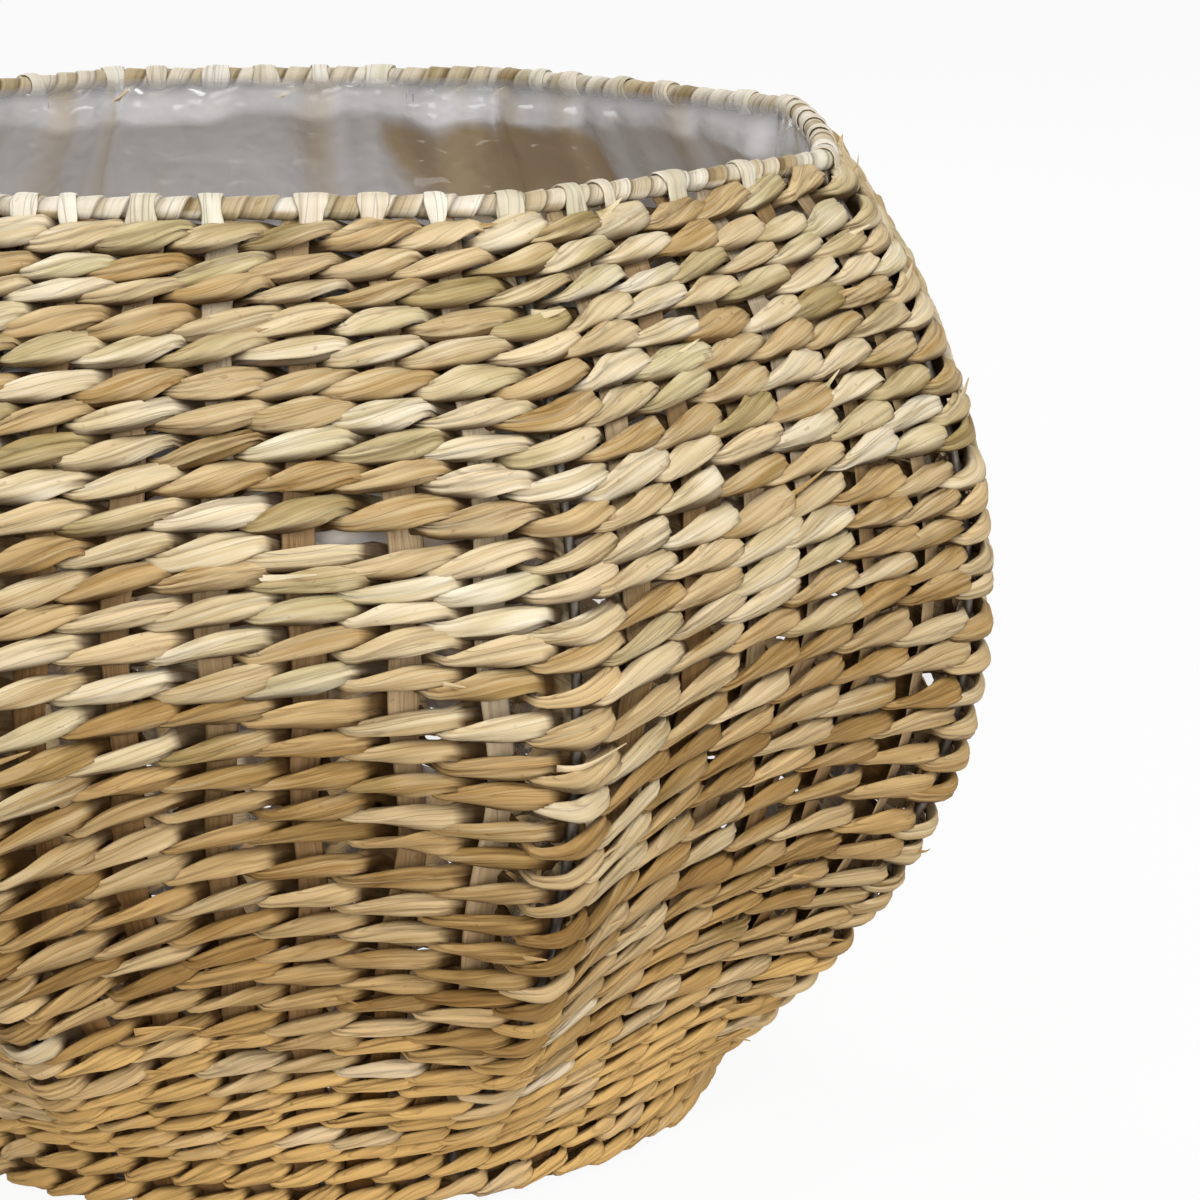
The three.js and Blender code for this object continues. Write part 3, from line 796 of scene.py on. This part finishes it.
def liner_bag():
    """The bag as a skin up its outside and down its inside, and the numbers its finish reads."""
    rng = np.random.default_rng(8)
    pitch = np.arange(ROUND) / ROUND * PITCHES
    row = np.concatenate([np.zeros(FLOOR_RINGS), np.linspace(0, WALL_ROWS, UPWARD)])[:, None]
    # two soft pleats on each side, a third of a side from the ribs
    from_pleat = np.abs(np.abs(from_ridge(pitch)) * 2 / PER_SIDE - 1 / 3) * 3
    pleat = 0.5 + 0.5 * np.cos(math.pi * np.clip(from_pleat, 0, 1))
    share = row / WALL_ROWS
    pleats = PLEAT_DEPTH * pleat * smooth(0.15, 0.4, share) * (1 - 0.4 * smooth(0.6, 0.86, share))
    folds = np.zeros((len(row), ROUND))
    for wave in (5, 9, 14, 22, 31, 44):
        rising = rng.normal(0, 1.2) * np.sin(np.linspace(0, rng.uniform(2, 5), len(row)) + rng.uniform(0, 6))
        turn = 2 * math.pi * wave * pitch / PITCHES + rising[:, None]
        folds += rng.normal(0, 0.75) * np.cos(turn + rng.uniform(0, 6))
    over_rib = RIB_ALLOWANCE * np.exp(-(from_ridge(pitch) ** 2))
    inward = FILM_DEPTH + pleats + over_rib + np.sqrt(folds**2 + 0.3) - 0.3
    outer = wall.place(pitch, np.broadcast_to(row, folds.shape), inward)
    for i, radius in enumerate(np.linspace(3, 96, FLOOR_RINGS)):
        outer[i] = round_direction(pitch) * radius
        outer[i, :, 2] = FLOOR_HEIGHT + np.clip(folds[i], 0, 3) * 0.25 * smooth(10, 60, radius)
    edge = rim_line(pitch) - flat_outward(pitch) * 3.3
    outer = np.concatenate([outer, edge[None]])
    folds = np.concatenate([folds, folds[-1:]])
    inner = outer.copy()
    inner[:FLOOR_RINGS, :, 2] += FLOOR_FILM_THICKNESS
    inner[FLOOR_RINGS:] -= flat_outward(pitch) * FILM_THICKNESS
    # the film looks clear where it clings to the grass, and it is milkiest high up on the right
    height = outer[..., 2]
    close = np.zeros(height.shape)
    for middle, reach, lean in CLINGING:
        away = np.abs(pitch - middle - lean * (height - 220))
        clings = (1 - smooth(reach - 0.5, reach + 0.4, away)) * (1 - smooth(236, 244, height))
        close = np.maximum(close, clings)
    high = smooth(150, 226, height)
    right = 1 - smooth(22, 25, pitch)
    milkiness = 0.75 - 0.7 * close - 0.35 * (1 - high) + 0.12 * folds
    cover = 0.05 + (0.72 + 0.2 * right) * high * (1 - 0.14 * close)
    cover *= 1 - 0.9 * smooth(246.5, 248.5, height)
    cloud = np.stack([milkiness, cover, np.zeros(height.shape)], -1)
    both = np.concatenate([cloud, cloud[::-1]])
    return skin(np.concatenate([outer, inner[::-1]])), both.reshape(-1, 3)


bag, cloud = liner_bag()
make_piece("liner_bag", [bag], film(), "plastic_liner", {"cloud": [cloud]})


# Floor and light: a plain white floor that runs out of sight, with soft studio light. The camera
# sees the floor and the room as white, and the basket keeps its soft shadow.
def background_rays(finish):
    """1 for what the camera sees, straight, mirrored or through glass."""
    kinds = ("Camera", "Glossy", "Transmission")
    rays = [finish.node("ShaderNodeLightPath", {}, {}, f"Is {kind} Ray") for kind in kinds]
    return finish.node("ShaderNodeClamp", {}, {"Value": rays[0] + rays[1] + rays[2]})


paper = Finish("white_paper")
white = paper.node("ShaderNodeEmission", {}, {"Color": (1, 1, 1, 1), "Strength": 1.0})
matte = paper.node("ShaderNodeBsdfDiffuse", {}, {"Color": colour(235, 235, 235)})
mixed = paper.node("ShaderNodeMixShader", {}, {0: background_rays(paper) * 0.94, 1: matte, 2: white})
paper.node("ShaderNodeOutputMaterial", {}, {"Surface": mixed})
mesh = bpy.data.meshes.new("floor")
mesh.from_pydata([(-6, -6, 0), (6, -6, 0), (6, 6, 0), (-6, 6, 0)], [], [(0, 1, 2, 3)])
mesh.materials.append(paper.material)
floor = bpy.data.objects.new("floor", mesh)
# just below the lowest strands
floor.location.z = -0.0006
bpy.context.scene.collection.objects.link(floor)

studio = Finish("studio", bpy.data.worlds)
room = studio.node("ShaderNodeBackground", {}, {"Color": (1.0, 0.98, 0.95, 1), "Strength": 0.26})
backdrop = studio.node("ShaderNodeBackground", {}, {"Color": (1, 1, 1, 1), "Strength": 1.0})
choice = studio.node("ShaderNodeMixShader", {}, {0: background_rays(studio), 1: room, 2: backdrop})
studio.node("ShaderNodeOutputWorld", {}, {"Surface": choice})
bpy.context.scene.world = studio.material


def lamp(name, place, aim, size, power):
    """A round soft lamp at a place, turned to what it lights."""
    light = bpy.data.lights.new(name, "AREA")
    light.shape, light.size, light.energy = "DISK", size, power
    stand = bpy.data.objects.new(name, light)
    bpy.context.scene.collection.objects.link(stand)
    stand.location = place
    direction = np.array(aim) - np.array(place)
    tilt = math.atan2(math.hypot(direction[0], direction[1]), -direction[2])
    stand.rotation_euler = Euler((tilt, 0, math.atan2(direction[1], direction[0]) - math.pi / 2))


# the key light stands above on the right, the low one fills in under the belly, and the one at
# the back lights the far side
lamp("key_light", (0.75, -1.35, 1.5), (0, 0, 0.13), 0.7, 16)
lamp("top_light", (-0.4, -0.9, 1.9), (0, 0, 0.15), 0.7, 11)
lamp("front_light", (-0.4, -2.2, 0.95), (0, 0, 0.2), 0.8, 12)
lamp("low_light", (1.5, -1.7, 0.3), (0, 0, 0.1), 1.0, 11)
lamp("back_light", (-0.6, 1.7, 1.2), (0, 0, 0.12), 0.9, 20)

bpy.context.scene.view_settings.view_transform = "Standard"
bpy.context.view_layer.update()
